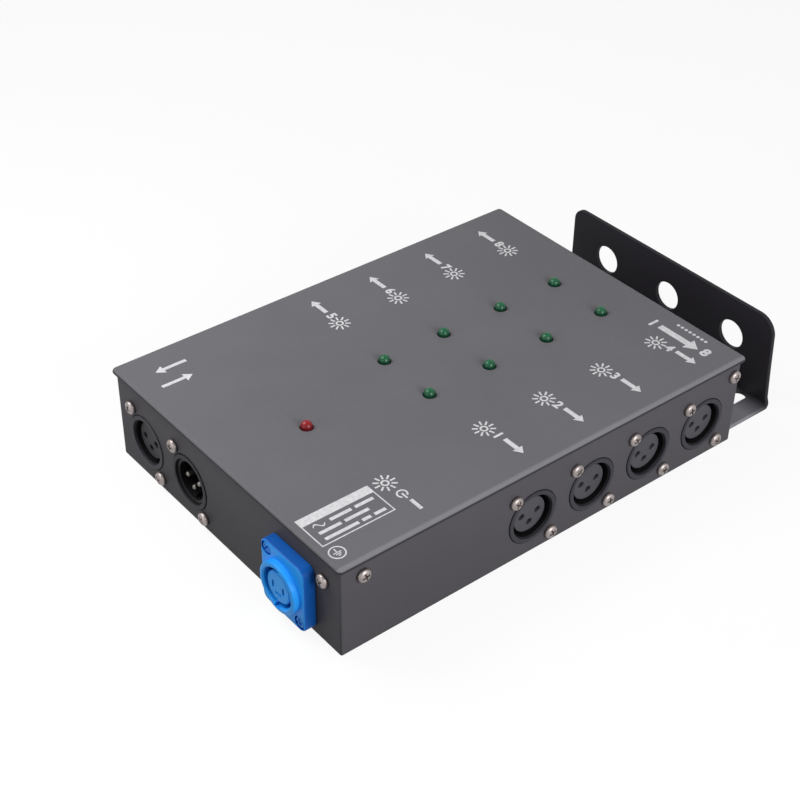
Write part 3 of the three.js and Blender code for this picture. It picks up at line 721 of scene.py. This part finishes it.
def make_lid():
    top = lid_high.z
    inner_bend = lid_bend - sheet
    rim = top - lid_rim_drop
    lean = lid_over_bend
    levels = arc(lid_bend, top - lid_bend, inner_bend, 90, 180)
    levels += [(sheet + lean, rim + 0.05), (sheet + lean - 0.05, rim), (lean + 0.15, rim), (lean, rim + 0.15)]
    levels += arc(lid_bend, top - lid_bend, lid_bend, 180, 90)
    lid = lofted("lid", pan_loops(lid_low, lid_high, lid_corner, levels))
    drills = []
    for x, inward in ((lid_low.x, 1), (lid_high.x, -1)):
        for y, side in ((lid_low.y, 1), (lid_high.y, -1)):
            slit = block("slit", (-2, -lid_slit / 2, rim - 1), (2.2, lid_slit / 2, top - lid_bend * 0.6))
            turn = Matrix.Rotation(math.atan2(side, inward), 4, "Z")
            drills.append(moved(slit, Matrix.Translation((x, y, 0)) @ turn))
    for node in lamp_nodes + ["power_lamp"]:
        low, high = low_high(node)
        centre = ((low.x + high.x) / 2, (low.y + high.y) / 2)
        drills.append(rod(lamp_radius + hole_gap, top - 3, top + 1, 32, centre))
    return new_piece("lid", carve(lid, drills))


# Tray: folded box with a hole for each socket and screw

def make_tray():
    rim = tray_high.z
    inner_bend = 0.4
    levels = arc(sheet + inner_bend, sheet + inner_bend, inner_bend, -90, -180, 3)
    levels += [(sheet, rim), (0, rim)]
    levels += arc(tray_bend, tray_bend, tray_bend, 180, 270)
    tray = lofted("tray", pan_loops(tray_low, tray_high, tray_corner, levels))
    holes = [(node, barrel_radius + hole_gap, 64) for node in socket_nodes]
    holes += [("power_inlet", inlet_body_radius + hole_gap, 64)]
    holes += [(node, screw_hole, 20) for node in panel_screws + inlet_screws]
    holes += [(node, bracket_screw_hole, 20) for node in bracket_screws]
    drills = []
    for node, radius, sides in holes:
        point, turn = place_of(node)
        drills.append(moved(rod(radius, -4, 4, sides), Matrix.LocRotScale(point, turn, None)))
    return new_piece("tray", carve(tray, drills))


# Data sockets

def socket_shell():
    """Barrel with a rounded rim, a wall for the plug's shell, a rear flange and the connector block."""
    front = barrel_proud
    profile = [(0, -barrel_depth), (barrel_radius, -barrel_depth), (barrel_radius, front - 0.35),
               (barrel_radius - 0.12, front - 0.1), (barrel_radius - 0.4, front), (groove_outer + 0.5, front),
               (groove_outer + 0.15, front - 0.12), (groove_outer, front - 0.5), (groove_outer, -groove_depth),
               (0, -groove_depth)]
    barrel = turned("barrel", profile, 64)
    back = -sheet - seat_gap
    flange = rounded_plate("flange", socket_flange[0], socket_flange[1], 3, back - socket_flange[2], back)
    across, up = socket_fixing
    holes = [rod(flange_bore, -9, 1, 64)] + [rod(screw_hole, -9, 1, 24, (-side * across, side * up))
                                             for side in (-1, 1)]
    flange = carve(flange, holes)
    half_wide, half_high = socket_block[0] / 2, socket_block[1] / 2
    rear = block("rear", (-half_wide, -half_high, -barrel_depth - socket_block[2]),
                 (half_wide, half_high, -barrel_depth + 0.5))
    tails = [block("tail", (x - 0.4, -half_high - 2.4, -barrel_depth - 4.4),
                   (x + 0.4, -half_high + 0.4, -barrel_depth - 3.6)) for x in (-5, 0, 5)]
    return carve(barrel, [flange, rear] + tails, "UNION")


def at_contacts(name, profile, sides=24, ring=False):
    """A turned shape at each contact."""
    return [turned(name, profile, sides, ring, place) for place in contact_places]


def female_insert():
    front = -insert_recess
    body = turned("insert", [(0, -groove_depth + 0.02), (groove_inner, -groove_depth + 0.02),
                             (groove_inner, front - 0.6), (groove_inner - 0.18, front - 0.18),
                             (groove_inner - 0.6, front), (0, front)], 56)
    key = block("key", (-1.1, groove_inner - 1.1, -groove_depth + 1), (1.1, groove_inner + 0.5, front - 0.5))
    mouth = contact_radius + 0.35
    drills = at_contacts("drill", [(0, -9), (contact_radius, -9), (contact_radius, front - 0.35),
                                   (mouth, front + 0.01), (mouth, 2), (0, 2)])
    return carve(body, [key] + drills)


def groove_shade_sleeve():
    """Black sleeve on the groove's outer wall and floor: a dark sheet that paints the groove's shade."""
    outer, low = groove_outer - 0.02, -groove_depth + 0.02
    return turned("liner", [(groove_inner + 0.02, low), (outer, low), (outer, -0.5), (outer - 0.22, -0.65),
                            (outer - 0.22, low + 0.3), (groove_inner + 0.02, low + 0.3)], 64, ring=True)


def female_contacts():
    bore, wall = 0.75, contact_radius - 0.12
    return joined("contacts", at_contacts("tube", [(bore, -8.8), (wall, -8.8), (wall, -5.3),
                                                   (contact_radius - 0.3, -5), (bore, -5)], 20, ring=True))


def male_cup():
    """Liner of the pin side: a cup with a guide rib, its floor round the pins."""
    wall, front = groove_outer - 0.05, -0.6
    profile = [(0, -groove_depth + 0.02), (wall, -groove_depth + 0.02), (wall, front - 0.3),
               (wall - 0.3, front), (8.5, front), (8.2, front - 0.3), (8.2, -groove_depth + 1.6),
               (0, -groove_depth + 1.6)]
    cup = turned("cup", profile, 56)
    rib = block("rib", (-1, -8.6, -groove_depth + 1), (1, -7.2, front - 1.2))
    return carve(cup, [rib], "UNION")


def male_pins():
    low = -groove_depth + 1.2
    return joined("pins", at_contacts("pin", [(0, low), (pin_radius, low), (pin_radius, -2.1),
                                              (pin_radius - 0.25, -1.6), (pin_radius - 0.7, -1.25), (0, -1.1)]))


# Screws: a pan head with a cross recess, of radius 1 m and height 1 m, so that a copy's size is in metres

def pan_screw(shank_width, shank_length):
    head = [(0, -shank_length), (shank_width, -shank_length), (shank_width, 0), (0.97, 0), (1, 0.08), (1, 0.34),
            (0.965, 0.56), (0.88, 0.74), (0.74, 0.87), (0.56, 0.95), (0.3, 0.99), (0, 1)]
    screw = turned("screw", head, 40)
    for turn in (0, 90):
        wing = lofted("wing", [[(x, y, z) for x, y in oblong(-a, a, -b, b)] for a, b, z in screw_wing])
        screw = carve(screw, [moved(wing, Matrix.Rotation(math.radians(turn), 4, "Z"))])
    screw.transform(Matrix.Diagonal((1 / mm, 1 / mm, 1 / mm, 1)))
    return screw


def screw_places(nodes, lift=0.0):
    """Places of screw heads, each with its cross at another angle."""
    places = []
    for k, node in enumerate(nodes):
        point, turn = place_of(node)
        outward = turn @ Vector((0, 0, 1))
        spin = Matrix.Rotation(math.radians(37 * k + 11), 3, "Z")
        places.append((point + outward * lift, turn @ spin))
    return places


# Lamps

def lamp_lens(tip):
    foot = tip - lamp_height
    dome = tip - lamp_radius
    profile = [(0, foot), (lamp_rim_radius, foot), (lamp_rim_radius, foot + lamp_rim_height),
               (lamp_radius, foot + lamp_rim_height)]
    return turned("lens", profile + arc(0, dome, lamp_radius, 0, 90, 6), 32)


def lamp_legs(foot):
    half = lamp_wire / 2
    return [block("leg", (x - half, -half, low_high("power_lamp")[0].z), (x + half, half, foot + 0.3))
            for x in (-lamp_wire_pitch / 2, lamp_wire_pitch / 2)]


def lamp_places(nodes):
    places = []
    for node in nodes:
        low, high = low_high(node)
        places.append((Vector(((low.x + high.x) / 2, (low.y + high.y) / 2, 0)), Matrix.Identity(3)))
    return places


# Power inlet, drawn as the sockets are

def make_inlet():
    front = seat_gap + inlet_flange[2]
    ring_front = front + inlet_ring_proud
    floor = ring_front - inlet_cavity_depth
    plate = rounded_plate("flange", inlet_flange[0], inlet_flange[1], 3.2, seat_gap, front, 0.8)
    ring = turned("ring", [(0, -inlet_body_depth), (inlet_body_radius - 0.4, -inlet_body_depth),
                           (inlet_body_radius - 0.2, seat_gap), (inlet_ring_radius, seat_gap + 1),
                           (inlet_ring_radius, ring_front - 0.7), (inlet_ring_radius - 0.2, ring_front - 0.2),
                           (inlet_ring_radius - 0.7, ring_front), (0, ring_front)], 64)
    inlet = carve(plate, [ring], "UNION")
    cavity = turned("cavity", [(inlet_core_radius, floor), (inlet_cavity_radius, floor),
                               (inlet_cavity_radius, ring_front - 0.5), (inlet_cavity_radius + 0.5, ring_front + 0.01),
                               (inlet_cavity_radius + 0.5, ring_front + 1), (inlet_core_radius, ring_front + 1)],
                    56, ring=True)
    core_top = ring_front - inlet_core_recess
    crown = turned("crown", [(0, core_top), (inlet_core_radius - 0.5, core_top),
                             (inlet_core_radius + 0.05, core_top - 0.5), (inlet_core_radius + 0.05, ring_front + 1),
                             (0, ring_front + 1)], 56)
    keys = [block("key", (-1.5, low, floor + 0.3), (1.5, high, ring_front + 1)) for low, high in inlet_keys]
    for tools in ([cavity], [crown], keys):
        inlet = carve(inlet, tools)
    slots = [block("slot", (x - a, y - b, core_top - 9), (x + a, y + b, core_top + 1))
             for x, y, a, b in inlet_slots]
    for sign in (-1, 1):
        place = (sign * inlet_fixing[0], -sign * inlet_fixing[1])
        seat = front - inlet_screw_depth
        slots.append(turned("drill", [(0, -1), (screw_hole, -1), (screw_hole, seat), (2.92, seat),
                                      (2.92, front - 0.1), (3.05, front + 0.02), (3.05, front + 1), (0, front + 1)],
                            28, centre=place))
    inlet = carve(inlet, slots)
    tabs = [block("tab", (x - 0.4, y - 2.4, -inlet_body_depth - 6), (x + 0.4, y + 2.4, -inlet_body_depth + 0.5))
            for x, y in inlet_tabs]
    inlet = carve(inlet, tabs, "UNION")
    point, turn = place_of("power_inlet", "front")
    return new_piece("inlet", moved(inlet, Matrix.LocRotScale(point, turn, None)))


# Hanging bracket: a flat pattern with its holes, folded along two bends

def make_bracket():
    half = bracket_sheet / 2
    x0, x1 = bracket_low.x, bracket_high.x
    y0, y1 = bracket_low.y, bracket_high.y
    mid_radius = bracket_bend - half
    quarter = mid_radius * math.pi / 2
    flange_end = bracket_flange_height - bracket_bend
    foot_start = flange_end + quarter
    foot_end = foot_start + (x1 - x0 - 2 * bracket_bend)
    plate_start = foot_end + quarter
    plate_end = plate_start + bracket_high.z - bracket_bend

    def at_height(z):
        return plate_start + z - bracket_bend

    def at_foot(x):
        return foot_start + x - x0 - bracket_bend

    def edge(taper, radius):
        """One long edge of the flat strip, as how far along and how far in."""
        points = [(0, 2), (2, 0), (foot_end, 0)] + [(at_height(z), inward) for z, inward in taper]
        return points + arc(plate_end - radius, points[-1][1] + radius, radius, -90, 0, 10)

    near, far = (edge(*values) for values in bracket_edges)
    outlines = [[(s, y0 + inward) for s, inward in near] + [(s, y1 - inward) for s, inward in reversed(far)]]
    outlines += [circle(at_height(hook_hole_height), y, hook_hole_radius, 48) for y in hook_holes_y]
    outlines += [circle(bracket_flange_height - bracket_screw_up, low_high(node)[0].y + bracket_screw_radius,
                        bracket_screw_hole, 24) for node in bracket_screws]
    for y in tie_slots_y:
        slot = rounded(at_foot(tie_slot_x[0]), at_foot(tie_slot_x[1]), y - tie_slot_width / 2, y + tie_slot_width / 2,
                       tie_slot_width / 2 - 0.05)
        outlines.append([(s, y) for s, y, _ in slot])
    flat = filled("bracket", outlines, half, 0.3)

    form = bmesh.new()
    form.from_mesh(flat)
    creases = [flange_end + quarter * k / 8 for k in range(9)] + [foot_end + quarter * k / 8 for k in range(9)]
    for s in creases:
        parts = form.verts[:] + form.edges[:] + form.faces[:]
        bmesh.ops.bisect_plane(form, geom=parts, dist=1e-7, plane_co=(s * mm, 0, 0), plane_no=(1, 0, 0))
    for vert in form.verts:
        s, y, out = vert.co.x / mm, vert.co.y, -vert.co.z / mm
        if s <= flange_end:
            x, z = x0 + half - out, bracket_flange_height - s
        elif s <= foot_start:
            turn = (s - flange_end) / mid_radius
            x = x0 + bracket_bend - (mid_radius + out) * math.cos(turn)
            z = bracket_bend - (mid_radius + out) * math.sin(turn)
        elif s <= foot_end:
            x, z = x0 + bracket_bend + s - foot_start, half - out
        elif s <= plate_start:
            turn = (s - foot_end) / mid_radius
            x = x1 - bracket_bend + (mid_radius + out) * math.sin(turn)
            z = bracket_bend - (mid_radius + out) * math.cos(turn)
        else:
            x, z = x1 - half + out, bracket_bend + s - plate_start
        vert.co = (x * mm, y, z * mm)
    form.to_mesh(flat)
    form.free()
    return new_piece("bracket", tidied(flat))


# Printed marks: generic signs and plain numbers

def slab(outlines):
    """Flat mark, sunk as deep in the lid as it stands proud."""
    mark = filled("mark", outlines, ink_lift)
    return moved(mark, Matrix.Translation((0, 0, lid_high.z)))


def bar(x, y, length, width):
    """Bar along -Y from its start."""
    return oblong(x - width / 2, x + width / 2, y - length, y)


def turned_outline(outline, x, y, degrees=0):
    turn = Matrix.Rotation(math.radians(degrees), 2)
    return [tuple(turn @ Vector(point) + Vector((x, y))) for point in outline]


def arrow(length, width, head):
    """Arrow along +X from the origin."""
    shaft = length - head
    return [(0, -width / 2), (shaft, -width / 2), (shaft, -head * 0.7), (length, 0), (shaft, head * 0.7),
            (shaft, width / 2), (0, width / 2)]


def number(text, x, y, size):
    """Plain number in the default face, upright when seen from the front end."""
    curve = bpy.data.curves.new("number", "FONT")
    curve.body = text
    curve.size = size * mm
    curve.align_x = "CENTER"
    curve.align_y = "CENTER"
    curve.extrude = ink_lift * mm
    curve.offset = 0.04 * size * mm
    curve.resolution_u = 3
    place = Matrix.Translation((x, y, lid_high.z)) @ Matrix.Rotation(-math.pi / 2, 4, "Z")
    return tidied(moved(mesh_of_curve(curve), place))


def make_print():
    marks = []
    signs = []

    def mark(*outlines):
        marks.append(slab(outlines))

    for k, node in enumerate(outputs):
        point, _ = place_of(node)
        sign, figure, start, turn = near_marks if point.y < 0 else far_marks
        signs.append((point.x + sign[0], sign[1]))
        marks.append(number(str(k + 1), point.x + figure[0], figure[1], number_size))
        mark(turned_outline(arrow(*output_arrow), point.x + start[0], start[1], turn))
    signs.append(power_lamp_sign)
    mesh = bpy.data.meshes.new("signs")
    mesh.from_pydata([Vector((x, y, lid_high.z)) * mm for x, y in signs], [], [])
    lamp_signs = grown(new_piece("signs", mesh), bursts, {
        "Rays": 10, "Ring Radius": 1.35 * mm, "Ray Start": 2.3 * mm, "Ray End": 4.6 * mm, "Line Width": 0.75 * mm,
        "Thickness": 2 * ink_lift * mm, "Material": print_white})
    marks.append(tidied(lamp_signs.data.copy()))
    bpy.data.objects.remove(lamp_signs)

    # Power sign beside the red lamp's mark: a broken ring with a bar
    mark(turned_outline(arc(0, 0, 2.3, -55, 235, 29) + arc(0, 0, 1.6, 235, -55, 29), -71, -55.8))
    mark(bar(-71, -55.6, 3.2, 0.75))
    mark(bar(-70.6, -60.2, 6.2, 1.5))

    # Supply plate: a frame with a filled band, and plain lines in it
    x0, x1, y0, y1 = supply_plate
    mark(oblong(x0, x1, y0, y1), oblong(x0 + 0.5, x1 - 0.5, y0 + 0.5, y1 - 4.2))
    wave = [(0.25 * k - 2.5, 1.1 * math.sin(2 * math.pi * k / 20)) for k in range(21)]
    band = [(x, y + 0.35) for x, y in wave] + [(x, y - 0.35) for x, y in reversed(wave)]
    mark(turned_outline(band, -104.6, -51.2))
    for y, *stretches in supply_rows:
        for start, end in stretches:
            mark(oblong(start, end, y - 0.75, y + 0.75))

    # Earth sign in a ring
    ex, ey = -108, -66.4
    mark(circle(ex, ey, 3.3), circle(ex, ey, 2.75))
    mark(bar(ex, ey + 2.1, 2.1, 0.5))
    for drop, half in ((0, 1.7), (0.8, 1.1), (1.6, 0.5)):
        mark(oblong(ex - half, ex + half, ey - drop - 0.22, ey - drop + 0.22))

    # Data arrows by the front sockets: out at the through socket, in at the input
    mark(turned_outline(arrow(*data_arrow), -87.4, 61.1, 180))
    mark(turned_outline(arrow(*data_arrow), -104.4, 51.5, 0))

    # One line in, eight out: a 1, a long arrow and an 8, with a row of eight dots beside
    marks.append(number("1", 78.6, -34.6, title_size))
    mark(turned_outline(arrow(*title_arrow), 79, -38.2, -90))
    marks.append(number("8", 79.6, -62.6, title_size))
    for k in range(8):
        mark(circle(85.6, -42.4 - dot_pitch * k, 0.75, 16))
    return new_piece("lid_print", joined("lid_print", marks))


# Build

finish_piece(make_lid(), lid_coat, "case_coat", "top_cover")
finish_piece(make_tray(), tray_coat, "case_coat", "base_tray", "side_panel_near", "side_panel_far")
finish_piece(make_bracket(), bracket_coat, "bracket_coat", "hanging_bracket")
finish_piece(make_inlet(), inlet_finish, "inlet_blue", "power_inlet")

female_places = [place_of(node) for node in female_nodes]
output_places = [place_of(node) for node in outputs]
through_places = [place_of("data_through_socket")]
male_places = [place_of(male_node)]
finish_copies("socket_shells", socket_shell(), female_places, shell_finish, "socket_grey", *female_nodes)
finish_copies("input_shell", socket_shell(), male_places, input_finish, "socket_grey", male_node)
finish_copies("output_inserts", female_insert(), output_places, insert_finish, "socket_grey")
# The through socket's insert is painted darker, as painted shade.
finish_copies("through_insert", female_insert(), through_places, shaded_through_insert, "socket_grey")
# Black sleeves in the female grooves: painted shade.
finish_copies("socket_liners", groove_shade_sleeve(), female_places, black_and_shade_finish, "socket_grey")
finish_copies("socket_contacts", female_contacts(), female_places, contact_metal, "screw_zinc")
finish_copies("input_cup", male_cup(), male_places, black_and_shade_finish, "socket_grey")
finish_copies("input_pins", male_pins(), male_places, contact_metal, "screw_zinc")

# Each kind of screw: its nodes, its shank in head radii and heights, its seat, finish and head size
inlet_seat = seat_gap + inlet_flange[2] - inlet_screw_depth + 0.5
panel_head = (screw_radius * mm, screw_height * mm)
bracket_head = (bracket_screw_radius * mm, bracket_screw_height * mm)
for name, nodes, shank, seat, material, head in (
        ("panel_screws", panel_screws, (0.52, 2.75), seat_gap, zinc, panel_head),
        ("inlet_screws", inlet_screws, (0.52, 4), inlet_seat, blued, panel_head),
        ("bracket_screws", bracket_screws, (0.54, 3), seat_gap + bracket_sheet + seat_gap, zinc, bracket_head)):
    finish_copies(name, pan_screw(*shank), screw_places(nodes, seat), material, "screw_zinc", *nodes, size=head)

tip = low_high("power_lamp")[1].z
for name, nodes, material, slot in (("green_lamps", lamp_nodes, lens_green, "lamp_green"),
                                    ("red_lamp", ["power_lamp"], lens_red, "lamp_red")):
    lamp = carve(lamp_lens(tip), lamp_legs(tip - lamp_height), "UNION")
    finish_copies(name, lamp, lamp_places(nodes), material, slot, *nodes)

finish_piece(make_print(), print_white, "screw_zinc")


# Finishes of the pieces inside, which keep their solids

def board_finish():
    """Green solder mask with fine copper tracks under it."""
    board = Finish("board_green", Roughness=0.35)
    tracks = board.cells(260)
    lines = (tracks * 3).clipped() > 0.82
    board.feed("Base Color", board.mix(lines, (0.012, 0.11, 0.04), (0.03, 0.2, 0.08)))
    board.bump(tracks, 0.2, 0.05)
    return board.material


def striped(name, dark, light, pitch, roughness):
    """Stripes along the height, as on wound tape or a sleeve."""
    layer = Finish(name)
    wave = (layer.across("Z") / (pitch * mm) * 2 * math.pi).maths("SINE") * 0.5 + 0.5
    blur = layer.noise(300)
    layer.feed("Base Color", layer.mix((wave * 0.6 + blur * 0.4).clipped(), dark, light))
    layer.feed("Roughness", (blur - 0.5) * 0.2 + roughness)
    layer.bump(wave, 0.3, 0.05)
    return layer.material


inside = {
    "main_board": board_finish(),
    "supply_transformer": striped("winding_tape", (0.5, 0.34, 0.05), (0.68, 0.5, 0.1), 1.5, 0.5),
    "supply_capacitor": striped("capacitor_sleeve", (0.012, 0.016, 0.05), (0.03, 0.036, 0.09), 6, 0.35),
    "mains_lead": moulded("lead_sleeve", (0.16, 0.01, 0.01), (0.26, 0.03, 0.02)),
}
inside["power_supply_board"] = inside["main_board"]
for node, material in inside.items():
    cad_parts[node].data.materials.clear()
    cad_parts[node].data.materials.append(material)


# Floor, light and camera

def light(name, place, target, size, power, tint=(1, 1, 1)):
    lamp = bpy.data.lights.new(name, "AREA")
    lamp.shape = "RECTANGLE"
    lamp.size, lamp.size_y = size
    lamp.energy = power
    lamp.color = tint
    holder = bpy.data.objects.new(name, lamp)
    holder.location = place
    holder.rotation_euler = (Vector(target) - Vector(place)).to_track_quat("-Z", "Y").to_euler()
    scene.collection.objects.link(holder)


def seen_directly(tree):
    """1 for rays from the camera, from a gloss or through glass."""
    path = tree.nodes.new("ShaderNodeLightPath").outputs
    seen = path["Is Camera Ray"]
    for kind in ("Is Glossy Ray", "Is Transmission Ray"):
        seen = add_node(tree, "ShaderNodeMath", {"operation": "MAXIMUM"}, n0=seen, n1=path[kind]).outputs[0]
    return seen


def make_floor():
    paint = Finish("pale_floor", Roughness=0.9, Specular_IOR_Level=0.1)
    speck = paint.noise(40, 2)
    paint.feed("Base Color", paint.mix(speck, (0.24, 0.24, 0.24), (0.26, 0.26, 0.26)))
    tree = paint.tree
    glow = add_node(tree, "ShaderNodeEmission", Color=(1, 1, 1, 1), Strength=floor_glow)
    share = add_node(tree, "ShaderNodeMath", {"operation": "MULTIPLY"}, n0=seen_directly(tree), n1=floor_glow_share)
    mixed = add_node(tree, "ShaderNodeMixShader", n0=share.outputs[0], n1=paint.shader.outputs[0],
                     n2=glow.outputs[0])
    tree.links.new(mixed.outputs[0], tree.nodes["Material Output"].inputs["Surface"])
    mesh = bpy.data.meshes.new("floor")
    mesh.from_pydata([(x, y, floor_height) for x, y in oblong(-floor_reach, floor_reach, -floor_reach, floor_reach)],
                     [], [(0, 1, 2, 3)])
    mesh.materials.append(paint.material)
    floor = new_piece("floor", mesh)


def make_sky():
    world = bpy.data.worlds.new("studio")
    scene.world = world
    world.use_nodes = True
    tree = world.node_tree
    tree.nodes.clear()
    soft, white = (add_node(tree, "ShaderNodeBackground", Color=(1, 1, 1, 1), Strength=strength)
                   for strength in (sky_light, 1.0))
    mixed = add_node(tree, "ShaderNodeMixShader", n0=seen_directly(tree), n1=soft.outputs[0], n2=white.outputs[0])
    add_node(tree, "ShaderNodeOutputWorld", Surface=mixed.outputs[0])


make_floor()
make_sky()
light("overhead", (-0.233, 0.224, 0.437), (-0.07, 0.07, 0.04), (0.3, 0.3), 1.87)
light("near_key", (0, -0.72, 0.36), (0, 0, 0.02), (0.4, 0.4), 4.5)
light("front_fill", (-0.92, 0.05, 0.3), (-0.11, 0, 0.02), (0.4, 0.4), 1.15)

view = bpy.data.cameras.new("photo_view")
view.sensor_width = 36
view.lens = 73.28
view.clip_start = 0.01
camera = bpy.data.objects.new("photo_view", view)
camera.location = Vector((-353.14, -400.64, 419.6)) * mm
camera.rotation_euler = [math.radians(turn) for turn in (53.0436, -0.5862, -38.6920)]
scene.collection.objects.link(camera)
scene.camera = camera
scene.view_settings.view_transform = "Standard"
